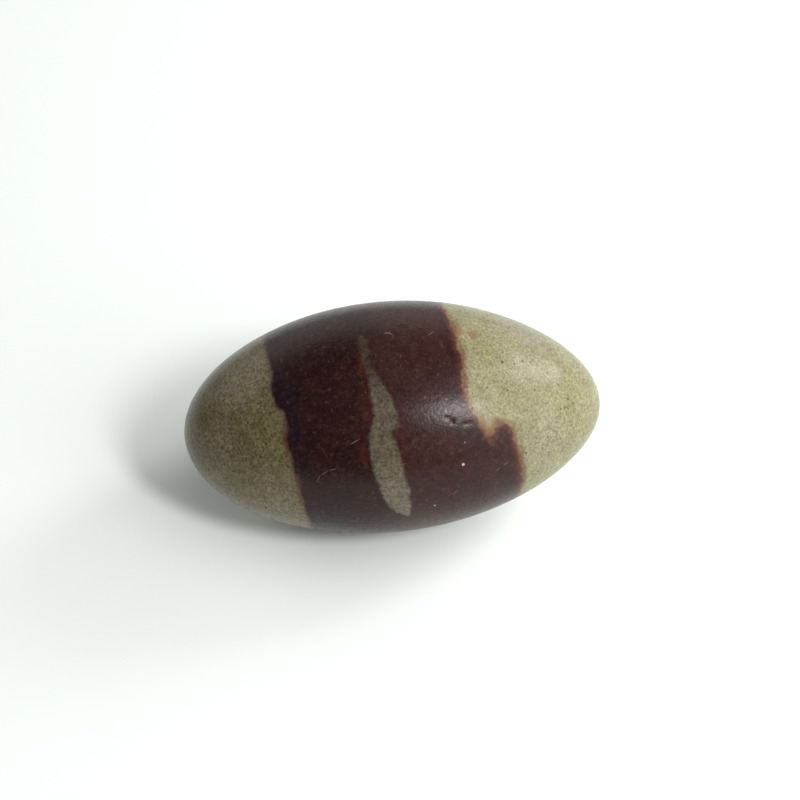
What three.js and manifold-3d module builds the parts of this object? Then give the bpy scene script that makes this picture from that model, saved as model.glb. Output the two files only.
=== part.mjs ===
// A lingam stone: one egg-shaped river stone, ground and polished by hand, lying on a small flat spot.
// Millimetres. +X runs along the stone towards its slimmer end and +Z is up. The origin is on the surface
// that the stone rests on, under the middle of the stone.

import * as THREE from 'three';
import { mergeVertices } from 'three/addons/utils/BufferGeometryUtils.js';
import Module from 'manifold-3d';

// Driving dimensions
const LENGTH = 64;                 // end to end
const WIDTH = 36;                  // side to side, at the thickest place
const HEIGHT = 34.4;               // bottom to top, before the flat spot takes its share
const FLAT_DEPTH = 0.45;           // how far the flat spot cuts into the underside

// How the girth changes along the stone, as shares of the girth of a true ellipsoid
const TAPER = 0.021;               // the +X half is slimmer, and the -X half fuller
const LEAN_ENDS = 0.065;           // both ends are leaner
const DRAWN_NOSE = 0.033;          // the last stretch before the +X tip is drawn in further

const ARCH = 0.45;                 // how far the middle of the stone lies behind the line between its tips

// Broad, shallow places that the river wore flatter. The direction that each one faces is given on a unit
// sphere, its spread as the part of that sphere's radius that it covers, and its depth in millimetres.
const WORN_PLACES = [
  { facing: [0.45, 0.85, -0.20], spread: 0.50, depth: 0.30 },   // behind, towards the slim end
  { facing: [-0.60, 0.74, -0.30], spread: 0.45, depth: 0.25 },  // behind, low on the full end
  { facing: [0.45, -0.35, -0.82], spread: 0.40, depth: 0.25 },  // under the slim end
  { facing: [-0.93, -0.15, -0.33], spread: 0.35, depth: 0.20 }, // under the blunt tip
];

// The mesh: each edge of a twenty-sided solid is cut into one more piece than this
const EDGE_CUTS = 13;

const STONE_COLOUR = 0x948d6c;     // greenish khaki, the ground colour of the stone
const STONE_ROUGHNESS = 0.45;      // hand-polished, but not glassy
const STONE_METALNESS = 0;

const wasm = await Module();
wasm.setup();

// The stone's girth at a place along it, from -1 at one tip to 1 at the other
function girthShare(along) {
  return 1 - TAPER * along - LEAN_ENDS * along ** 2 - DRAWN_NOSE * along ** 3;
}

// How deep the stone is worn at a point of the unit sphere
function wearDepth(direction) {
  let depth = 0;
  for (const place of WORN_PLACES) {
    const facing = new THREE.Vector3(...place.facing).normalize();
    const distance = direction.distanceTo(facing);
    depth += place.depth * Math.exp(-((distance / place.spread) ** 2));
  }
  return depth;
}

// A point of the unit sphere, carried out to the surface of the stone
function stonePoint(direction) {
  const girth = girthShare(direction.x);
  const point = new THREE.Vector3(
    direction.x * LENGTH / 2,
    direction.y * girth * WIDTH / 2,
    direction.z * girth * HEIGHT / 2,
  );
  const reach = point.length();
  point.multiplyScalar((reach - wearDepth(direction)) / reach);
  point.y += ARCH * (1 - direction.x ** 2);
  return point;
}

// A geometry with its shared vertices merged and nothing but positions left
function positionsOnly(geometry) {
  geometry.deleteAttribute('normal');
  geometry.deleteAttribute('uv');
  return mergeVertices(geometry);
}

function toSolid(geometry) {
  return new wasm.Manifold(new wasm.Mesh({
    numProp: 3,
    vertProperties: new Float32Array(geometry.attributes.position.array),
    triVerts: new Uint32Array(geometry.index.array),
  }));
}

function toGeometry(solid) {
  const mesh = solid.getMesh();
  const geometry = new THREE.BufferGeometry();
  geometry.setAttribute('position', new THREE.BufferAttribute(mesh.vertProperties, 3));
  geometry.setIndex(new THREE.BufferAttribute(mesh.triVerts, 1));
  geometry.computeVertexNormals();
  return geometry;
}

// The whole stone, before its flat spot, with the flat spot's plane at z = 0
function roundStone() {
  const geometry = positionsOnly(new THREE.IcosahedronGeometry(1, EDGE_CUTS));
  const position = geometry.attributes.position;
  const direction = new THREE.Vector3();
  for (let i = 0; i < position.count; i += 1) {
    direction.fromBufferAttribute(position, i).normalize();
    position.setXYZ(i, ...stonePoint(direction));
  }
  geometry.computeBoundingBox();
  const box = geometry.boundingBox;
  const middle = box.getCenter(new THREE.Vector3());
  geometry.translate(-middle.x, -middle.y, -box.min.z - FLAT_DEPTH);
  return geometry;
}

// The block below z = 0 that the flat spot is cut with
function groundBlock() {
  const block = new THREE.BoxGeometry(2 * LENGTH, 2 * WIDTH, HEIGHT);
  block.translate(0, 0, -HEIGHT / 2);
  return positionsOnly(block);
}

function lingamStone() {
  const solid = toSolid(roundStone()).subtract(toSolid(groundBlock()));
  const material = new THREE.MeshStandardMaterial({
    color: STONE_COLOUR,
    roughness: STONE_ROUGHNESS,
    metalness: STONE_METALNESS,
  });
  const mesh = new THREE.Mesh(toGeometry(solid), material);
  mesh.name = 'lingam_stone';
  return mesh;
}

const group = new THREE.Group();
group.add(lingamStone());

export default group;
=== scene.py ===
# A lingam stone: an egg-shaped river stone, polished by hand, khaki with a dark red-brown band round it.
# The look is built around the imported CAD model, in metres: +X runs along the stone and +Z is up.
# A place on the stone is (degrees round it, millimetres along it from its middle towards +X). 0 degrees is
# the top, 90 the front, 180 the underside and 270 the back.

import math
import random

import bpy
import numpy as np
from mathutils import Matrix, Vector, noise


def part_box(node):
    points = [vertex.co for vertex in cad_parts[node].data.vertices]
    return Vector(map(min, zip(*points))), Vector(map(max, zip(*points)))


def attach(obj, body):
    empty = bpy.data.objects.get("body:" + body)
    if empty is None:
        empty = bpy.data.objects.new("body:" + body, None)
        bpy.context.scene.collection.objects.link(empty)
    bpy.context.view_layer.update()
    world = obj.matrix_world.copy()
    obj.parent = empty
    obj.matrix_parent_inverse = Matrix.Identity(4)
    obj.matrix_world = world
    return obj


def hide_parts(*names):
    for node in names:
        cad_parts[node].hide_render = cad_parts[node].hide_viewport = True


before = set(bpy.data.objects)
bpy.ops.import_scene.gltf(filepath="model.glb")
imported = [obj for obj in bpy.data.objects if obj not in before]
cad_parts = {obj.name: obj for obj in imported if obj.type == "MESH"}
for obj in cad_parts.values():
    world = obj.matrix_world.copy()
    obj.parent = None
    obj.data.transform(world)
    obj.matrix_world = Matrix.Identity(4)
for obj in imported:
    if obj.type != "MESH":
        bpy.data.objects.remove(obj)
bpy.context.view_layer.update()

NODE = "lingam_stone"
MM = 0.001

# ---- The stone's shape, as in the CAD model ---------------------------------------------------------------

LENGTH = 64.0 * MM
WIDTH = 36.0 * MM
HEIGHT = 34.4 * MM
FLAT_DEPTH = 0.45 * MM
TAPER = 0.021                     # how much slimmer the +X half is than the other
LEAN_ENDS = 0.065                 # how much leaner both ends are than an ellipsoid's
DRAWN_NOSE = 0.033                # how much the last stretch at +X is drawn in
ARCH = 0.45 * MM                  # how far the middle lies behind the line between the tips
WORN_PLACES = [
    {"facing": (0.45, 0.85, -0.20), "spread": 0.50, "depth": 0.30 * MM},
    {"facing": (-0.60, 0.74, -0.30), "spread": 0.45, "depth": 0.25 * MM},
    {"facing": (0.45, -0.35, -0.82), "spread": 0.40, "depth": 0.25 * MM},
    {"facing": (-0.93, -0.15, -0.33), "spread": 0.35, "depth": 0.20 * MM},
]

# ---- The fine surface -------------------------------------------------------------------------------------

CELLS = 128                       # mesh cells along each edge of the cube that is rounded into the stone
FLAT_EDGE = 0.10 * MM             # how softly the flat spot's edge is worn
UNEVEN_DEPTH = 0.035 * MM         # what the hand polisher left uneven, either way
UNEVEN_SIZE = 8.0 * MM
PEEL_DEPTH = 0.006 * MM           # a finer unevenness on top of it
PEEL_SIZE = 1.6 * MM

# Dents that can be felt: (degrees round, millimetres along, radius and depth in millimetres)
DENTS = [
    (44, 7.1, 0.60, 0.12), (42, 6.4, 0.50, 0.09), (46, 8.9, 0.55, 0.08), (45.6, 9.7, 0.50, 0.07),
    (37, 25.4, 0.55, 0.07), (58, 25.6, 0.60, 0.07), (98, -20.7, 0.60, 0.09), (18, -27.0, 0.55, 0.06),
    (63, -11.2, 0.50, 0.05),
]
SCATTERED_DENTS = 70
SCATTER_ALONG = (-30, 30)         # millimetres along the stone
SCATTER_RADIUS = (0.40, 0.65)     # millimetres
SCATTER_DEPTH = (0.02, 0.05)
DENT_SEED = 11

# Marks in the colour: pits filled with dirt and pale chips are (degrees round, millimetres along, radius in
# millimetres), and a scratch runs from one place to another
DIRTY_PITS = [
    (37, 25.4, 0.30), (41, 26.2, 0.24), (44, 24.8, 0.16), (57, 25.5, 0.22), (13, 15.6, 0.30),
    (11, 18.8, 0.24), (30, 15.8, 0.20), (98, -20.7, 0.34), (48, -19.7, 0.26), (18, -27.0, 0.28),
    (14, -26.0, 0.18), (44.4, 7.2, 0.22), (10, 0.9, 0.22), (55, 12.9, 0.20), (69, 18.0, 0.24),
    (165, 20.0, 0.28), (150, -3.0, 0.26), (230, -19.0, 0.30), (262, 4.0, 0.26), (296, 20.0, 0.28),
    (318, -12.0, 0.24),
]
PALE_CHIPS = [
    (66.5, 8.3, 0.28), (55, 8.7, 0.10), (90, 4.0, 0.18), (76, 27.5, 0.12), (132, -6.0, 0.20),
    (205, 9.0, 0.24), (248, -9.0, 0.18), (290, 6.0, 0.20), (178, -26.0, 0.18),
]
SCRATCHES = [
    ((67, -12.6), (62.5, -10.9)), ((63.5, -11.2), (62, -9.7)), ((71, -13.0), (65, -12.3)),
    ((51, -8.2), (47.5, -6.0)), ((-6, -1.0), (-2, 0.4)), ((-4, -1.6), (-5, 0.2)),
    ((75.5, 13.2), (73.5, 14.0)), ((73.5, 14.2), (70.5, 15.3)), ((-1, 5.0), (-5, 6.4)),
    ((85, 6.5), (81, 7.6)), ((36, -22.0), (31, -21.2)), ((58, -24.0), (55, -22.6)),
    ((120, 4.0), (114, 6.0)), ((160, -20.0), (152, -18.5)), ((215, 3.0), (206, 5.5)),
    ((245, -6.0), (240, -3.0)), ((270, 13.0), (264, 15.5)), ((300, -9.0), (293, -6.5)),
    ((325, 5.0), (318, 8.0)),
]

# ---- The banding: outlines and patches --------------------------------------------------------------------

# The dark band's two borders go once round the stone, and each stripe's outline closes on itself
BAND_LEFT = [
    (-30, -18.6), (-11, -18.4), (5, -18.0), (16, -18.3), (26, -17.7), (31, -16.8), (37, -16.5), (46, -16.9),
    (56, -16.2), (71, -15.8), (81, -15.3), (101, -14.5), (125, -14.0), (155, -14.3), (180, -15.2),
    (215, -15.9), (250, -17.9), (290, -18.2),
]
BAND_RIGHT = [
    (-30, 8.5), (-9, 9.1), (5, 9.3), (12, 9.7), (23, 9.3), (31, 9.3), (37, 9.9), (43, 10.7), (49.5, 11.9),
    (52.8, 12.5), (52, 13.1), (49.4, 13.5), (47.5, 14.5), (49, 15.5), (53, 15.9), (61, 16.3), (71, 16.9),
    (86, 17.5), (106, 17.5), (135, 18.3), (175, 17.2), (205, 14.0), (225, 14.4), (255, 11.6), (290, 9.4),
]
FRONT_STRIPE = [
    (-4, -4.8), (9, -4.9), (16, -4.5), (23, -4.2), (36, -4.0), (41, -4.3), (46, -4.9), (54, -5.1),
    (62, -4.8), (71, -4.1), (81, -3.3), (88, -2.3), (93, -1.0), (95, 0.1), (89, 0.4), (79, 0.2), (69, -0.3),
    (61, -0.7), (52, -1.2), (47, -1.7), (42, -0.8), (33, -1.1), (26, -1.9), (20, -2.8), (13, -3.5),
    (4, -3.8), (-3, -3.9),
]
BACK_STRIPE = [
    (172, 3.5), (190, 1.8), (215, 0.6), (240, -0.6), (262, -2.6), (280, -3.4), (268, -0.9), (245, 1.5),
    (222, 2.9), (196, 4.6),
]

# Places with a tint of their own: (degrees round, millimetres along, half the size round and half the size
# along the stone, in millimetres). Each fades out softly from its middle.
TINTED_PLACES = {
    "olive": [
        (31, -21.8, 4.0, 2.2), (48, -19.4, 4.0, 2.0), (61, -18.2, 2.2, 1.4), (70, -24.0, 2.5, 2.0),
        (37, 15.5, 3.5, 3.0), (38, 25.0, 3.5, 2.6), (9, 13.0, 4.0, 2.0), (118, 22.0, 4.0, 4.0),
        (160, -22.0, 5.0, 3.0), (232, -24.0, 4.0, 3.0), (250, 21.0, 5.0, 3.5), (305, 18.0, 4.0, 4.0),
    ],
    "ashen": [
        (43, -26.5, 3.0, 2.5), (88, -27.5, 3.0, 2.5), (2, -22.5, 6.0, 4.0), (100, -19.0, 5.0, 3.0),
        (70, 21.0, 5.0, 4.0), (-18, 20.0, 4.0, 6.0), (190, -24.0, 6.0, 4.0), (280, -25.0, 5.0, 3.0),
        (200, 24.0, 5.0, 4.0), (150, 25.0, 4.0, 3.0), (268, 26.0, 4.0, 3.0),
    ],
    "plum": [
        (15, -17.0, 3.8, 1.7), (25, -16.0, 2.4, 1.6), (43, -15.4, 3.6, 1.3), (63, -14.8, 2.4, 1.1),
        (105, -11.5, 5.0, 3.0), (150, -12.0, 6.0, 2.0), (200, -14.0, 6.0, 2.0), (262, -15.5, 7.0, 2.5),
        (225, 10.5, 4.0, 3.0), (310, -16.0, 5.0, 2.0),
    ],
    "brown": [
        (9, -1.6, 5.0, 2.6), (-8, 3.5, 5.0, 4.0), (54, 3.5, 2.5, 3.5), (53, 14.4, 1.4, 0.9),
        (101, 3.0, 5.0, 3.5), (140, 9.0, 6.0, 5.0), (185, -3.0, 5.0, 4.0), (242, 6.0, 5.0, 3.0),
        (300, 2.0, 5.0, 3.5),
    ],
    "red": [
        (35, -5.0, 3.4, 1.0), (14, -5.1, 3.0, 0.7), (57, -5.9, 2.4, 0.6), (44, -0.9, 2.0, 0.5),
        (58, -0.3, 2.4, 0.5), (215, 4.5, 4.0, 1.0), (245, -2.2, 4.0, 1.0),
    ],
    "rust": [
        (-4, 11.9, 1.0, 0.8), (-7, 9.9, 2.2, 0.6), (51, 12.4, 1.1, 0.8), (47, 11.5, 1.1, 0.7),
        (47, 13.6, 0.8, 1.2), (130, 18.6, 4.0, 0.9), (212, 14.2, 3.0, 1.2), (258, 11.9, 3.0, 0.8),
        (178, -15.4, 3.0, 0.8),
    ],
    "umber": [
        (47.5, 14.2, 0.8, 1.0), (55, 12.9, 1.3, 0.8), (58, 16.4, 2.6, 0.5), (73, 17.2, 4.0, 0.5),
        (89, 17.7, 4.0, 0.5), (23, 9.7, 3.0, 0.5), (9, 9.8, 2.6, 0.5), (-7, 9.2, 3.0, 0.5),
        (46, -16.9, 3.0, 0.4), (76, -15.5, 4.0, 0.4), (120, 18.2, 4.0, 0.6), (160, 17.8, 4.0, 0.6),
        (240, 13.2, 4.0, 0.6), (285, 9.7, 4.0, 0.6),
    ],
    "pitted": [
        (40, 25.6, 2.2, 1.6), (57, 25.4, 1.6, 1.0), (13, 17.0, 2.5, 2.4), (46, -20.0, 2.0, 1.2),
        (98, -20.7, 1.2, 0.8), (9, 0.5, 1.8, 2.0), (150, 24.0, 3.0, 2.0), (240, -22.0, 3.0, 3.0),
        (285, 22.0, 3.0, 3.0), (190, 6.0, 2.5, 3.0),
    ],
}


# ---- The mesh ---------------------------------------------------------------------------------------------

def cube_sphere(cells):
    """Unit directions and four-sided faces of a cube rounded into a sphere, with no poles."""
    steps = np.arange(cells + 1)
    first, second = [grid.ravel() for grid in np.meshgrid(steps, steps, indexing="ij")]
    corner = (first < cells) & (second < cells)
    start = (first * (cells + 1) + second)[corner]
    quads = np.stack([start, start + cells + 1, start + cells + 2, start + 1], axis=1)
    points = []
    faces = []
    for axis in range(3):
        for side in (0, cells):
            lattice = np.zeros((len(first), 3), int)
            lattice[:, axis] = side
            lattice[:, (axis + 1) % 3] = first
            lattice[:, (axis + 2) % 3] = second
            outward = quads if side else quads[:, ::-1]
            faces.append(outward + len(points) * len(first))
            points.append(lattice)
    lattice = np.concatenate(points)
    key = (lattice[:, 0] * (cells + 1) + lattice[:, 1]) * (cells + 1) + lattice[:, 2]
    _, keep, welded = np.unique(key, return_index=True, return_inverse=True)
    even_angles = np.tan((lattice[keep] / cells * 2 - 1) * math.pi / 4)
    directions = even_angles / np.linalg.norm(even_angles, axis=1, keepdims=True)
    return directions, welded[np.concatenate(faces)]


def girth_share(along):
    """How thick the stone is at a share of its half length, as a share of an ellipsoid's thickness there."""
    return 1 - TAPER * along - LEAN_ENDS * along ** 2 - DRAWN_NOSE * along ** 3


def wear_depth(directions):
    """How much the broad worn places take off the stone in each direction."""
    depth = np.zeros(len(directions))
    for place in WORN_PLACES:
        facing = np.array(Vector(place["facing"]).normalized())
        distance = np.linalg.norm(directions - facing, axis=1)
        depth += place["depth"] * np.exp(-(distance / place["spread"]) ** 2)
    return depth


def stone_points(directions):
    """Points of the unit sphere, carried out to the surface of the round stone, about its middle."""
    girth = girth_share(directions[:, 0])
    points = directions * np.array([LENGTH, WIDTH, HEIGHT]) / 2
    points[:, 1] *= girth
    points[:, 2] *= girth
    reach = np.linalg.norm(points, axis=1)
    points *= ((reach - wear_depth(directions)) / reach)[:, None]
    points[:, 1] += ARCH * (1 - directions[:, 0] ** 2)
    return points


def frame_shift(points):
    """From the round stone's middle to its place in the frame, with the flat spot's plane at the bottom."""
    low, high = [np.array(corner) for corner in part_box(NODE)]
    shift = (low + high - points.min(0) - points.max(0)) / 2
    shift[2] = low[2] - FLAT_DEPTH - points[:, 2].min()
    return shift


def directions_at(turns, places):
    """Unit directions of the places that lie turns degrees round the stone and places mm along it."""
    along = places * MM / (LENGTH / 2)
    girth = np.sqrt(1 - along ** 2)
    angle = np.radians(turns)
    return np.stack([along, -girth * np.sin(angle), girth * np.cos(angle)], axis=1)


def unevenness(points, depth, size):
    """Smooth hills and hollows of about that depth and size."""
    return depth * np.array([noise.noise(Vector(point / size)) for point in points])


def scattered_dents():
    """More small dents like the listed ones, anywhere on the stone."""
    chance = random.Random(DENT_SEED)
    for _ in range(SCATTERED_DENTS):
        turn = chance.uniform(0, 360)
        place = chance.uniform(*SCATTER_ALONG)
        radius = chance.uniform(*SCATTER_RADIUS)
        yield (turn, place, radius, chance.uniform(*SCATTER_DEPTH))


def dent_depth(points):
    """How much the dents take off the stone at each point."""
    dents = np.array(DENTS + list(scattered_dents()))
    centres = stone_points(directions_at(dents[:, 0], dents[:, 1]))
    depth = np.zeros(len(points))
    for centre, radius, deepest in zip(centres, dents[:, 2] * MM, dents[:, 3] * MM):
        distance = np.linalg.norm(points - centre, axis=1) / radius
        depth += deepest * np.clip(1 - distance ** 2, 0, 1) ** 2
    return depth


def wear_flat(points):
    """The flat spot: nothing is left below the ground, and the flat's edge is rounded."""
    height = points[:, 2]
    points[:, 2] = (height + np.sqrt(height ** 2 + FLAT_EDGE ** 2)) / 2
    points[:, 2] -= points[:, 2].min()


# ---- Where the bands are on the mesh ----------------------------------------------------------------------

def smooth_loop(outline, lap, steps=8):
    """A smooth closed curve through the outline's points; going once round adds lap degrees."""
    knots = np.array(outline, float)
    once = np.array([lap, 0.0])
    ring = np.vstack([knots[-1:] - once, knots, knots[:2] + once])
    share = np.arange(steps)[:, None] / steps
    stretches = []
    for before, start, end, after in zip(ring, ring[1:], ring[2:], ring[3:]):
        stretches.append(
            start
            + share * (end - before) / 2
            + share ** 2 * (2 * before - 5 * start + 4 * end - after) / 2
            + share ** 3 * (3 * start - before - 3 * end + after) / 2
        )
    curve = np.vstack(stretches)
    return np.vstack([curve, curve[:1] + once])


def signed_distance(outline, lap, directions, points):
    """Millimetres to the outline's curve: positive on its -X side, or inside it if it closes on itself."""
    curve = smooth_loop(outline, lap)
    turns = np.degrees(np.arctan2(-directions[:, 1], directions[:, 2]))
    first_turn = curve[:, 0].min() if lap else (curve[:, 0].min() + curve[:, 0].max()) / 2 - 180
    turns = (turns - first_turn) % 360 + first_turn
    places = directions[:, 0] * LENGTH / 2 / MM
    on_stone = stone_points(directions_at(curve[:, 0], curve[:, 1]))
    inside = np.zeros(len(points), bool)
    nearest = np.full(len(points), np.inf)
    for step in range(len(curve) - 1):
        (turn, place), (next_turn, next_place) = curve[step], curve[step + 1]
        crosses = (turn <= turns) != (next_turn <= turns)
        if next_turn != turn:
            place_there = place + (turns - turn) / (next_turn - turn) * (next_place - place)
            inside ^= crosses & (place_there > places)
        stretch = on_stone[step + 1] - on_stone[step]
        share = np.clip((points - on_stone[step]) @ stretch / (stretch @ stretch), 0, 1)
        gap = points - on_stone[step] - share[:, None] * stretch
        nearest = np.minimum(nearest, np.einsum("ij,ij->i", gap, gap))
    distance = np.sqrt(nearest) / MM
    return np.where(inside, distance, -distance)


def cover(places, points):
    """How far each point lies in one of the places: 1 in its middle, fading to nothing."""
    share = np.zeros(len(points))
    for turn, place, half_round, half_along in places:
        middle = stone_points(directions_at(np.array([turn]), np.array([place])))[0]
        offset = (points - middle) / MM / [half_along, half_round, half_round]
        share = np.maximum(share, np.exp(-np.einsum("ij,ij->i", offset, offset)))
    return share


def store(mesh, name, values):
    attribute = mesh.attributes.new(name, "FLOAT", "POINT")
    attribute.data.foreach_set("value", values.astype(np.float32))


def store_bands(mesh, directions, points):
    """The distances to the outlines and the shares of the tinted places, for the material to read."""
    store(mesh, "from_left_edge", -signed_distance(BAND_LEFT, 360, directions, points))
    store(mesh, "from_right_edge", signed_distance(BAND_RIGHT, 360, directions, points))
    front_stripe = signed_distance(FRONT_STRIPE, 0, directions, points)
    back_stripe = signed_distance(BACK_STRIPE, 0, directions, points)
    store(mesh, "in_stripe", np.maximum(front_stripe, back_stripe))
    for name, places in TINTED_PLACES.items():
        store(mesh, name, cover(places, points))


def build_stone():
    """The stone's object, and where the round stone's middle lies in the frame."""
    directions, faces = cube_sphere(CELLS)
    points = stone_points(directions)
    shift = frame_shift(points)
    outward = points / np.linalg.norm(points, axis=1, keepdims=True)
    height = unevenness(points, UNEVEN_DEPTH, UNEVEN_SIZE) + unevenness(points, PEEL_DEPTH, PEEL_SIZE)
    surface = points + outward * (height - dent_depth(points))[:, None] + shift
    wear_flat(surface)
    mesh = bpy.data.meshes.new("banded_stone")
    mesh.from_pydata(surface.tolist(), [], faces.tolist())
    mesh.shade_smooth()
    store_bands(mesh, directions, points)
    stone = bpy.data.objects.new("banded_stone", mesh)
    bpy.context.scene.collection.objects.link(stone)
    return stone, Vector(shift)


# ---- The stone's colours ----------------------------------------------------------------------------------

def srgb(red, green, blue):
    """A colour given as a painter would mix it, 0 to 255, as the linear values that shaders take."""
    def linear(value):
        share = value / 255
        return share / 12.92 if share <= 0.04045 else ((share + 0.055) / 1.055) ** 2.4
    return (linear(red), linear(green), linear(blue), 1.0)


# A pair is the lighter and the darker colour of a mottled stretch.
SLIM_END = (srgb(135, 131, 101), srgb(125, 120, 88))
SLIM_END_OLIVE = srgb(129, 123, 82)
SLIM_END_ASHEN = srgb(135, 130, 112)
FULL_END = (srgb(99, 90, 66), srgb(89, 80, 56))
# Painted light: a paler colour for the full end's lower part, standing in for light thrown up from below
FULL_END_PAINTED_UNDERLIGHT = srgb(120, 110, 88)
FULL_END_OLIVE = srgb(93, 85, 51)
FULL_END_ASHEN = srgb(118, 108, 88)
OXBLOOD = (srgb(38, 17, 16), srgb(31, 13, 13))
CHESTNUT = (srgb(50, 26, 24), srgb(42, 21, 20))
BAND_BROWN = srgb(53, 32, 27)
BAND_RED = srgb(62, 23, 18)
BAND_PLUM = srgb(26, 15, 24)
BAND_SALT = srgb(112, 98, 92)
BAND_RIM = srgb(82, 40, 32)
STAIN_LEFT = srgb(82, 62, 52)
STAIN_RIGHT = srgb(120, 85, 61)
VEIN_UPPER = (srgb(86, 76, 63), srgb(74, 64, 54))
# Painted light: the vein's paler colour at its foot stands in for light from below
VEIN_PAINTED_UNDERLIGHT = (srgb(116, 108, 92), srgb(102, 94, 80))
RUST = srgb(122, 90, 62)
UMBER = srgb(84, 50, 40)
DIRT = srgb(44, 36, 30)
CHIP = srgb(190, 180, 170)
SCRATCH = srgb(176, 164, 150)

# ---- The material's numbers: places, sizes and heights are in millimetres ---------------------------------

# From where to where one colour gives way to the next, along an axis of the frame
GROUND_CHANGES_X = (-6.0, 2.0)    # from the full end's khaki to the slim end's
BAND_CHANGES_X = (-5.5, 0.5)      # from oxblood to chestnut
PAINTED_UNDERLIGHT_Z = (26.0, 8.0)             # down the full end, towards its bottom, painted paler as light from below
VEIN_UNDERLIGHT_Z = (30.0, 13.0)       # down the vein, towards its foot, painted paler as light from below
VEIN_SHOWS_Y = (-5.0, -8.0)       # from the top, where the vein is faint, to the front
VEIN_LEAST = 0.35                 # how much of the vein shows where it is faint

CLOUD_ENDS = (0.35, 0.65)         # the noise at which a mottled stretch is all light or all dark
TINT_ENDS = (0.05, 0.95)          # the share at which a tint starts, and at which it is at full strength
TINT_CLOUDS = 0.7                 # how far clouds add to that share or take from it
WANDER_SIZE = 1.3                 # the slow ins and outs of an outline
BITE_SIZE = 0.5                   # the small ones
LEAST_GRAIN = 0.05                # the darkest that the grain can make anything, as a share

BAND_EDGE_LEFT = (-0.30, 0.40)    # across an outline, from none of the colour inside it to all of it
BAND_EDGE_RIGHT = (-0.25, 0.35)
VEIN_EDGE = (-0.40, 0.40)
RIM_ENDS = (1.1, 0.2)             # the redder rim inside the right border: where it starts and is full
RIM_STRENGTH = 0.6
SALT_ENDS = (0.48, 0.85)          # the noise at which pale grains start to show in the band, and show fully
SALT_STRENGTH = 0.07

PIT_SPACING = 0.8
PIT_RADIUS = 0.18
PITS_LEFT_OUT = 0.93              # the share of the possible pits that is left out
PITS_LET_IN = 0.55                # how much less is left out in a pitted place
PIT_STRENGTH = 0.75
FLECK_SPACING = 3.7               # flecks are the faint pale specks between the chips
FLECK_RADIUS = 0.2
FLECKS_LEFT_OUT = 0.88
FLECK_STRENGTH = 0.4
CHIP_STRENGTH = 0.85

SCRATCH_HALF_WIDTH = 0.09         # in its middle
SCRATCH_STRENGTH = 0.34
HAIRLINE_SIZE = 0.2
HAIRLINE_STRETCH = (1.0, 0.08, 1.0)    # much longer along Y
HAIRLINE_TILT = 0.3               # turns, in radians, that make the three sets differ
HAIRLINE_TURNS = (0.4, 1.5, 2.6)
HAIRLINE_ENDS = (0.72, 0.80)
HAIRLINE_STRENGTH = 0.08

# Heights of the relief that is too fine for the mesh
GRAIN_HEIGHT = 0.026
RIPPLE_HEIGHT = 0.018
PIT_HEIGHT = -0.05
SCRATCH_HEIGHT = -0.03

SMOOTHEST = 0.18                  # the skin's least roughness, and how much the noise adds at most
ROUGHNESS_RANGE = 0.22
POLISH = 0.21                     # the specular level of hand-polished stone


# ---- The stone's material ---------------------------------------------------------------------------------

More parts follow.
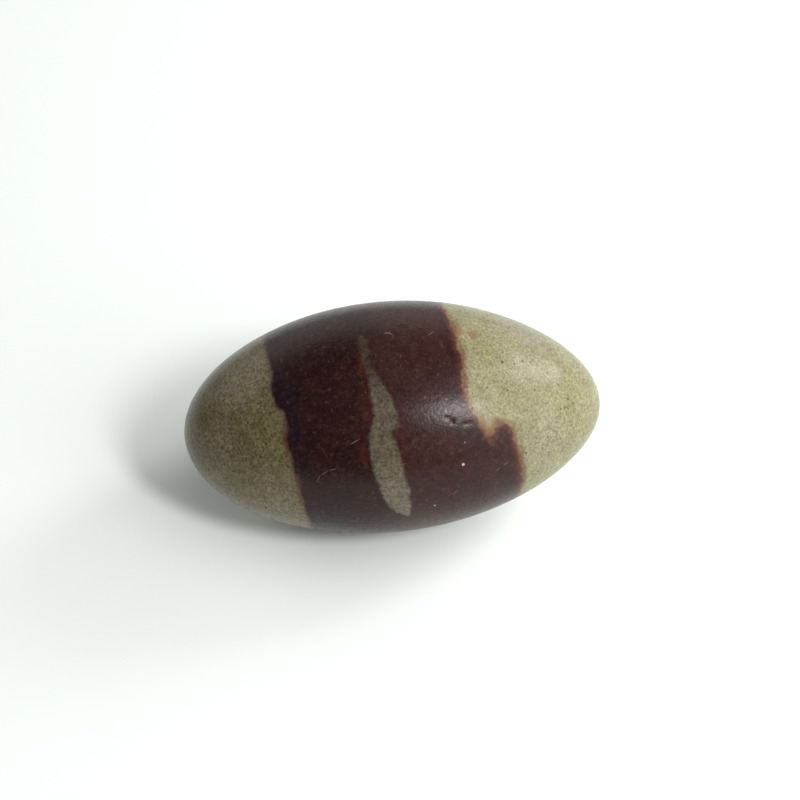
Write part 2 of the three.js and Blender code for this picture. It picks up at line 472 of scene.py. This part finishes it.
class Graph:
    """A material's node tree, with one short call for each kind of node that it needs."""

    # A mix node has sockets for every data type, and these are the ones for colours
    MIX_SHARE = 0
    MIX_UNDER = 6
    MIX_OVER = 7
    MIX_RESULT = 2

    def __init__(self, material):
        material.use_nodes = True
        self.tree = material.node_tree
        self.shader = self.tree.nodes["Principled BSDF"]
        coordinates = self.tree.nodes.new("ShaderNodeTexCoord")
        self.millimetres = self.scaled(coordinates.outputs["Object"], 1 / MM)

    def plug(self, value, socket):
        if isinstance(value, bpy.types.NodeSocket):
            self.tree.links.new(value, socket)
        else:
            socket.default_value = value

    def math(self, operation, first, second=0.0, third=0.0):
        node = self.tree.nodes.new("ShaderNodeMath")
        node.operation = operation
        for value, socket in zip((first, second, third), node.inputs):
            self.plug(value, socket)
        return node.outputs[0]

    def vector(self, operation, first, second):
        """A vector sum, or a dot product or distance as a number."""
        node = self.tree.nodes.new("ShaderNodeVectorMath")
        node.operation = operation
        self.plug(first, node.inputs[0])
        self.plug(second, node.inputs[1])
        return node.outputs["Value" if operation in ("DOT_PRODUCT", "DISTANCE") else "Vector"]

    def scaled(self, vector, share):
        """A vector or a colour, times a number."""
        node = self.tree.nodes.new("ShaderNodeVectorMath")
        node.operation = "SCALE"
        self.plug(vector, node.inputs[0])
        self.plug(share, node.inputs["Scale"])
        return node.outputs[0]

    def attribute(self, name):
        node = self.tree.nodes.new("ShaderNodeAttribute")
        node.attribute_name = name
        return node.outputs["Fac"]

    def axis(self, name):
        """Millimetres along one axis of the frame."""
        node = self.tree.nodes.new("ShaderNodeSeparateXYZ")
        self.plug(self.millimetres, node.inputs[0])
        return node.outputs[name]

    def stretched(self, scale, turn):
        """The place in millimetres, stretched along the axes and then turned."""
        node = self.tree.nodes.new("ShaderNodeMapping")
        node.inputs["Rotation"].default_value = turn
        node.inputs["Scale"].default_value = scale
        self.plug(self.millimetres, node.inputs["Vector"])
        return node.outputs[0]

    def noise(self, size, detail, place=None):
        """Cloudy noise, 0 to 1 about 0.5, with clouds of about that size in millimetres."""
        node = self.tree.nodes.new("ShaderNodeTexNoise")
        self.plug(self.millimetres if place is None else place, node.inputs["Vector"])
        node.inputs["Scale"].default_value = 1 / size
        node.inputs["Detail"].default_value = detail
        return node.outputs["Fac"]

    def sway(self, size, detail, reach):
        """The same noise between -reach and reach."""
        return self.math("MULTIPLY_ADD", self.noise(size, detail), 2 * reach, -reach)

    def cells(self, size, output):
        """Cells of about that size: the distance to a cell's middle, or a random colour for each."""
        node = self.tree.nodes.new("ShaderNodeTexVoronoi")
        self.plug(self.millimetres, node.inputs["Vector"])
        node.inputs["Scale"].default_value = 1 / size
        return node.outputs[output]

    def ramp(self, value, low, high):
        """0 below low and 1 above high, or the other way round if low is above high, with soft ends."""
        node = self.tree.nodes.new("ShaderNodeMapRange")
        node.interpolation_type = "SMOOTHSTEP"
        self.plug(value, node.inputs["Value"])
        if low < high:
            node.inputs["From Min"].default_value = low
            node.inputs["From Max"].default_value = high
        else:
            node.inputs["From Min"].default_value = high
            node.inputs["From Max"].default_value = low
            node.inputs["To Min"].default_value = 1
            node.inputs["To Max"].default_value = 0
        return node.outputs["Result"]

    def mix(self, share, under, over):
        """The colour under, covered by that share of the colour over it."""
        node = self.tree.nodes.new("ShaderNodeMix")
        node.data_type = "RGBA"
        self.plug(share, node.inputs[self.MIX_SHARE])
        self.plug(under, node.inputs[self.MIX_UNDER])
        self.plug(over, node.inputs[self.MIX_OVER])
        return node.outputs[self.MIX_RESULT]


def ragged(graph, outline, wander, bite):
    """An outline's distance, with the ins and outs of a mineral's edge: slow ones and small ones."""
    slow = graph.sway(size=WANDER_SIZE, detail=1.0, reach=wander)
    small = graph.sway(size=BITE_SIZE, detail=1.0, reach=bite)
    return graph.math("ADD", graph.attribute(outline), graph.math("ADD", slow, small))


def beside(graph, edge, reach, strength):
    """A share along an outline that fades out at that reach outside it and at twice that reach inside."""
    share = graph.math("MULTIPLY", graph.ramp(edge, -reach, 0.0), graph.ramp(edge, 2 * reach, reach))
    return graph.math("MULTIPLY", share, strength)


def grain(graph, fine, coarse):
    """Salt and pepper, as a share about 1, with that contrast in its fine and its coarse grains."""
    small = graph.math("MULTIPLY_ADD", graph.noise(size=0.38, detail=1.0), fine, 1 - fine / 2)
    large = graph.math("MULTIPLY_ADD", graph.noise(size=1.1, detail=2.0), coarse, 1 - coarse / 2)
    return graph.math("MAXIMUM", graph.math("MULTIPLY", small, large), LEAST_GRAIN)


def mottled(graph, pair, size):
    """Clouds of that size in a lighter and a darker colour."""
    light, dark = pair
    return graph.mix(graph.ramp(graph.noise(size, detail=3.0), *CLOUD_ENDS), light, dark)


def tinted(graph, colour, places, tint, strength, cloud_size=1.6):
    """The colour with a tint over the named places, broken up into clouds."""
    clouds = graph.sway(cloud_size, detail=3.0, reach=TINT_CLOUDS)
    share = graph.ramp(graph.math("ADD", graph.attribute(places), clouds), *TINT_ENDS)
    return graph.mix(graph.math("MULTIPLY", share, strength), colour, tint)


def ground_colour(graph):
    """The khaki ground: pale at the slim end, darker, browner and coarser at the full end."""
    slim_end = mottled(graph, SLIM_END, size=2.2)
    slim_end = tinted(graph, slim_end, "olive", SLIM_END_OLIVE, strength=0.3)
    slim_end = tinted(graph, slim_end, "ashen", SLIM_END_ASHEN, strength=0.5)
    slim_end = graph.scaled(slim_end, grain(graph, fine=1.5, coarse=0.5))
    full_end = mottled(graph, FULL_END, size=2.2)
    # Painted light: the full end is made paler towards the bottom, as if lit from below
    painted_underlight = graph.math("MULTIPLY", graph.ramp(graph.axis("Z"), *PAINTED_UNDERLIGHT_Z), 0.8)
    full_end = graph.mix(painted_underlight, full_end, FULL_END_PAINTED_UNDERLIGHT)
    full_end = tinted(graph, full_end, "olive", FULL_END_OLIVE, strength=0.5)
    full_end = tinted(graph, full_end, "ashen", FULL_END_ASHEN, strength=0.6)
    full_end = graph.scaled(full_end, grain(graph, fine=2.2, coarse=0.8))
    return graph.mix(graph.ramp(graph.axis("X"), *GROUND_CHANGES_X), full_end, slim_end)


def band_colour(graph):
    """The dark band: oxblood at the full end, browner at the slim end, with brown, red and plum places."""
    oxblood = mottled(graph, OXBLOOD, size=3.0)
    chestnut = mottled(graph, CHESTNUT, size=2.4)
    colour = graph.mix(graph.ramp(graph.axis("X"), *BAND_CHANGES_X), oxblood, chestnut)
    colour = tinted(graph, colour, "brown", BAND_BROWN, strength=0.5)
    colour = tinted(graph, colour, "red", BAND_RED, strength=0.55, cloud_size=0.9)
    colour = tinted(graph, colour, "plum", BAND_PLUM, strength=0.75)
    colour = graph.scaled(colour, grain(graph, fine=1.3, coarse=1.0))
    salt = graph.ramp(graph.noise(size=0.42, detail=1.0), *SALT_ENDS)
    return graph.mix(graph.math("MULTIPLY", salt, SALT_STRENGTH), colour, BAND_SALT)


def vein_colour(graph):
    """The thin khaki vein in the band, painted paler towards its lower end as light from below."""
    upper = mottled(graph, VEIN_UPPER, size=1.4)
    lower = mottled(graph, VEIN_PAINTED_UNDERLIGHT, size=1.4)
    colour = graph.mix(graph.ramp(graph.axis("Z"), *VEIN_UNDERLIGHT_Z), upper, lower)
    return graph.scaled(colour, grain(graph, fine=1.8, coarse=0.8))


def banded_colour(graph):
    """The ground, the band over it, the stains along the band's borders, and the vein over the band."""
    left_edge = ragged(graph, "from_left_edge", wander=0.35, bite=0.20)
    right_edge = ragged(graph, "from_right_edge", wander=0.35, bite=0.45)
    ground = ground_colour(graph)
    ground = graph.mix(beside(graph, left_edge, reach=0.7, strength=0.55), ground, STAIN_LEFT)
    ground = graph.mix(beside(graph, right_edge, reach=0.9, strength=0.75), ground, STAIN_RIGHT)
    rim = graph.math("MULTIPLY", graph.ramp(right_edge, *RIM_ENDS), RIM_STRENGTH)
    dark = graph.mix(rim, band_colour(graph), BAND_RIM)
    right_of_left = graph.ramp(left_edge, *BAND_EDGE_LEFT)
    left_of_right = graph.ramp(right_edge, *BAND_EDGE_RIGHT)
    colour = graph.mix(graph.math("MULTIPLY", right_of_left, left_of_right), ground, dark)
    colour = tinted(graph, colour, "rust", RUST, strength=0.75, cloud_size=0.8)
    colour = tinted(graph, colour, "umber", UMBER, strength=0.6, cloud_size=0.7)
    in_vein = graph.ramp(ragged(graph, "in_stripe", wander=0.30, bite=0.25), *VEIN_EDGE)
    towards_front = graph.ramp(graph.axis("Y"), *VEIN_SHOWS_Y)
    shows = graph.math("MULTIPLY_ADD", towards_front, 1 - VEIN_LEAST, VEIN_LEAST)
    return graph.mix(graph.math("MULTIPLY", in_vein, shows), colour, vein_colour(graph))


def specks(graph, spacing, radius, left_out):
    """Small round specks: a cell's middle, in the cells whose random number is above the share left out."""
    middle = graph.ramp(graph.cells(spacing, "Distance"), radius / spacing, radius / spacing * 0.5)
    lot = graph.tree.nodes.new("ShaderNodeSeparateColor")
    graph.plug(graph.cells(spacing, "Color"), lot.inputs[0])
    return graph.math("MULTIPLY", middle, graph.math("GREATER_THAN", lot.outputs[0], left_out))


def surface_place(turn, place, shift):
    """Millimetres in the frame of a place on the stone."""
    on_stone = stone_points(directions_at(np.array([turn]), np.array([place])))[0]
    return Vector(on_stone + shift) / MM


def dots(graph, places, shift):
    """Small round marks, with soft edges."""
    share = 0.0
    for turn, place, radius in places:
        distance = graph.vector("DISTANCE", graph.millimetres, surface_place(turn, place, shift))
        share = graph.math("MAXIMUM", share, graph.ramp(distance, radius, radius * 0.5))
    return share


def stroke(graph, start, end):
    """A thin straight mark from place to place, tapering to its ends."""
    run = end - start
    offset = graph.vector("SUBTRACT", graph.millimetres, (start + end) / 2)
    along = graph.vector("DOT_PRODUCT", offset, run / run.length_squared)
    aside = graph.vector("DISTANCE", offset, graph.scaled(run, along))
    taper = graph.math("MULTIPLY_ADD", graph.math("MULTIPLY", along, along), -4.0, 1.0)
    half_width = graph.math("MULTIPLY", graph.math("MAXIMUM", taper, 0.0), SCRATCH_HALF_WIDTH)
    return graph.ramp(graph.math("SUBTRACT", half_width, aside), 0.0, SCRATCH_HALF_WIDTH)


def hairlines(graph):
    """Fine faint scratches from front to back, in three sets that lie over each other."""
    lines = 0.0
    for turn in HAIRLINE_TURNS:
        place = graph.stretched(HAIRLINE_STRETCH, (HAIRLINE_TILT, turn, turn))
        streaks = graph.noise(HAIRLINE_SIZE, detail=1.0, place=place)
        lines = graph.math("MAXIMUM", lines, graph.ramp(streaks, *HAIRLINE_ENDS))
    return lines


def dirty_pits(graph, shift):
    """Scattered pits, more of them in the pitted places, and the listed ones."""
    left_out = graph.math("MULTIPLY_ADD", graph.attribute("pitted"), -PITS_LET_IN, PITS_LEFT_OUT)
    scattered = specks(graph, PIT_SPACING, PIT_RADIUS, left_out)
    return graph.math("MAXIMUM", scattered, dots(graph, DIRTY_PITS, shift))


def pale_chips(graph, shift):
    """Scattered faint flecks, and the listed chips."""
    flecks = specks(graph, FLECK_SPACING, FLECK_RADIUS, FLECKS_LEFT_OUT)
    flecks = graph.math("MULTIPLY", flecks, FLECK_STRENGTH)
    return graph.math("MAXIMUM", flecks, dots(graph, PALE_CHIPS, shift))


def all_scratches(graph, shift):
    """The hairlines, and the listed scratches."""
    deep = 0.0
    for start, end in SCRATCHES:
        mark = stroke(graph, surface_place(*start, shift), surface_place(*end, shift))
        deep = graph.math("MAXIMUM", deep, mark)
    faint = graph.math("MULTIPLY", hairlines(graph), HAIRLINE_STRENGTH)
    return graph.math("MAXIMUM", faint, graph.math("MULTIPLY", deep, SCRATCH_STRENGTH))


def fine_relief(graph, pits, scratches):
    """Grain, ripples, pits and scratches that can hardly be felt."""
    height = graph.math("MULTIPLY", graph.noise(size=0.35, detail=2.0), GRAIN_HEIGHT)
    height = graph.math("MULTIPLY_ADD", graph.noise(size=0.9, detail=1.0), RIPPLE_HEIGHT, height)
    height = graph.math("MULTIPLY_ADD", pits, PIT_HEIGHT, height)
    height = graph.math("MULTIPLY_ADD", scratches, SCRATCH_HEIGHT, height)
    bump = graph.tree.nodes.new("ShaderNodeBump")
    bump.inputs["Distance"].default_value = MM
    bump.inputs["Strength"].default_value = 1.0
    graph.plug(height, bump.inputs["Height"])
    return bump.outputs[0]


def stone_material(shift):
    material = bpy.data.materials.new("banded_stone")
    graph = Graph(material)
    pits = dirty_pits(graph, shift)
    scratches = all_scratches(graph, shift)
    colour = banded_colour(graph)
    colour = graph.mix(graph.math("MULTIPLY", pits, PIT_STRENGTH), colour, DIRT)
    colour = graph.mix(graph.math("MULTIPLY", pale_chips(graph, shift), CHIP_STRENGTH), colour, CHIP)
    colour = graph.mix(scratches, colour, SCRATCH)
    roughness = graph.math("MULTIPLY_ADD", graph.noise(size=0.5, detail=3.0), ROUGHNESS_RANGE, SMOOTHEST)
    shader = graph.shader
    graph.plug(colour, shader.inputs["Base Color"])
    graph.plug(roughness, shader.inputs["Roughness"])
    graph.plug(fine_relief(graph, pits, scratches), shader.inputs["Normal"])
    shader.inputs["Specular IOR Level"].default_value = POLISH
    return material


# ---- The stage --------------------------------------------------------------------------------------------

FLOOR_HALF = 0.6
FLOOR_SOLID = 0.22                # the floor fades into the white room between these two radii
FLOOR_GONE = 0.50
FLOOR_WHITE = (0.81, 0.85, 0.82, 1)
FLOOR_ROUGHNESS = 0.9
WHITE = (1, 1, 1, 1)
AIR_BRIGHTNESS = 0.1              # what the stone sees of the room
BACKDROP_BRIGHTNESS = 1.0         # what the camera sees of it
LIGHT_DISTANCE = 0.6
# Soft oval lights: degrees round from the front towards +X, degrees up, metres wide and tall, watts, and
# whether the stone mirrors them or they only fill its shadows
LIGHTS = {
    "window": (75, 35, 0.70, 0.70, 2.52, True),
    "window_low": (45, 20, 0.50, 0.50, 0.82, True),
    "glint": (111, 29, 0.18, 0.28, 1.42, True),
    "key": (39, 48, 0.10, 0.17, 1.85, True),
    "fill_low": (45, 20, 0.50, 0.50, 0.60, False),
    "fill_overhead": (60, 75, 0.45, 0.45, 0.66, False),
    "fill_behind": (215, 20, 0.45, 0.45, 0.58, False),
    "behind_right": (135, 20, 0.45, 0.45, 0.60, True),
    "behind": (182, 19, 0.66, 0.38, 0.47, True),
    "behind_left": (225, 22, 0.45, 0.45, 0.29, True),
}
CAMERA_TURN = -6.6                # degrees round from the front, and up
CAMERA_UP = 50
CAMERA_DISTANCE = 0.24
CAMERA_LENS = 70.4
SENSOR_WIDTH = 36
NEAR_LIMIT = 0.01
AIM_RIGHT = 0.98 * MM             # where the camera aims, beside and above the round stone's middle
AIM_ABOVE = 2.75 * MM


def towards(turn, up):
    """The direction that lies so many degrees round from the front towards +X and so many degrees up."""
    turn = math.radians(turn)
    up = math.radians(up)
    return Vector((math.sin(turn) * math.cos(up), -math.cos(turn) * math.cos(up), math.sin(up)))


def floor_material():
    """White, fading to nothing between two radii."""
    material = bpy.data.materials.new("white_floor")
    graph = Graph(material)
    radius = graph.vector("DISTANCE", graph.millimetres, (0, 0, 0))
    solid = graph.ramp(radius, FLOOR_GONE / MM, FLOOR_SOLID / MM)
    graph.plug(solid, graph.shader.inputs["Alpha"])
    graph.shader.inputs["Base Color"].default_value = FLOOR_WHITE
    graph.shader.inputs["Roughness"].default_value = FLOOR_ROUGHNESS
    return material


def lay_floor():
    mesh = bpy.data.meshes.new("floor")
    corners = [(-1, -1, 0), (1, -1, 0), (1, 1, 0), (-1, 1, 0)]
    mesh.from_pydata([Vector(corner) * FLOOR_HALF for corner in corners], [], [(0, 1, 2, 3)])
    mesh.materials.append(floor_material())
    floor = bpy.data.objects.new("floor", mesh)
    bpy.context.scene.collection.objects.link(floor)


def white_room():
    """A dim room to the stone, which the camera sees as plain white."""
    world = bpy.data.worlds.new("soft_white_room")
    world.use_nodes = True
    nodes, links = world.node_tree.nodes, world.node_tree.links
    seen = nodes.new("ShaderNodeLightPath")
    brightness = nodes.new("ShaderNodeMapRange")
    brightness.inputs["To Min"].default_value = AIR_BRIGHTNESS
    brightness.inputs["To Max"].default_value = BACKDROP_BRIGHTNESS
    links.new(seen.outputs["Is Camera Ray"], brightness.inputs["Value"])
    background = nodes["Background"]
    background.inputs["Color"].default_value = WHITE
    links.new(brightness.outputs["Result"], background.inputs["Strength"])
    return world


def soft_light(name, direction, width, height, watts, mirrored, aim):
    light = bpy.data.lights.new(name, "AREA")
    light.shape = "ELLIPSE"
    light.size = width
    light.size_y = height
    light.energy = watts
    lamp = bpy.data.objects.new(name, light)
    lamp.location = aim + direction * LIGHT_DISTANCE
    lamp.rotation_euler = (-direction).to_track_quat("-Z", "Y").to_euler()
    lamp.visible_camera = False
    lamp.visible_glossy = mirrored
    bpy.context.scene.collection.objects.link(lamp)


def light_the_stage(aim):
    bpy.context.scene.world = white_room()
    for name, (turn, up, width, height, watts, mirrored) in LIGHTS.items():
        soft_light(name, towards(turn, up), width, height, watts, mirrored, aim)


def place_camera(aim):
    """Above and in front of the stone, turned so that its slim end is a little farther away."""
    back = towards(CAMERA_TURN, CAMERA_UP)
    right = Vector((0, 0, 1)).cross(back).normalized()
    up = back.cross(right)
    camera_data = bpy.data.cameras.new("camera")
    camera_data.lens = CAMERA_LENS
    camera_data.sensor_width = SENSOR_WIDTH
    camera_data.clip_start = NEAR_LIMIT
    camera = bpy.data.objects.new("camera", camera_data)
    camera.location = aim + back * CAMERA_DISTANCE
    target = aim + right * AIM_RIGHT + up * AIM_ABOVE
    camera.rotation_euler = (target - camera.location).to_track_quat("-Z", "Y").to_euler()
    bpy.context.scene.collection.objects.link(camera)
    bpy.context.scene.camera = camera


stone, middle = build_stone()
stone.data.materials.append(stone_material(np.array(middle)))
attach(stone, "root")
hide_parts(NODE)

lay_floor()
light_the_stage(middle)
place_camera(middle)
bpy.context.scene.view_settings.view_transform = "Standard"
